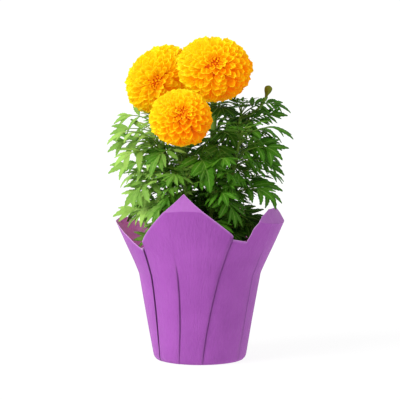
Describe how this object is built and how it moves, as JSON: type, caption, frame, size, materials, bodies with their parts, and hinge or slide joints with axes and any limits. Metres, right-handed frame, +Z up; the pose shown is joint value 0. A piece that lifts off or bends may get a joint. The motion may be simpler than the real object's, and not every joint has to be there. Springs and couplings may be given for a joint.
{
  "type": "potted marigold",
  "caption": "Flowering marigold with globe-shaped double orange blooms and pinnate leaves, in a plastic nursery pot inside a pleated purple paper pot cover.",
  "frame": {"origin": "centre of the flat base of the pot cover, on the surface that the pot stands on", "axes": "+Z up along the pot's axis; -Y to the front, where the blooms face; +X to the right seen from the front"},
  "size_m": [0.1797, 0.1573, 0.3145],
  "materials": {
    "cover_paper": "matte fibrous crepe-like paper, redder inside",
    "pot_plastic": "satin black thermoformed plastic",
    "soil": "rough damp peat with crumbs of bark and perlite",
    "leaf": "soft satin leaf, lighter along the ribs",
    "stalk": "ribbed satin green",
    "petal": "velvety matte petal, deeper orange at its root"
  },
  "bodies": {
    "root": {"pot_cover": "cover_paper", "nursery_pot": "pot_plastic", "soil": "soil", "leafy_shoot_front_right": "leaf", "leafy_shoot_right": "leaf", "leafy_shoot_right_back": "leaf", "leafy_shoot_back_right": "leaf", "leafy_shoot_back_left": "leaf", "leafy_shoot_left_back": "leaf", "leafy_shoot_left": "leaf", "leafy_shoot_front_left": "leaf", "flower_stalk_right": "stalk", "flower_stalk_left": "stalk", "flower_stalk_front": "stalk", "bloom_right": "petal", "bloom_left": "petal", "bloom_front": "petal"}
  },
  "joints": []
}
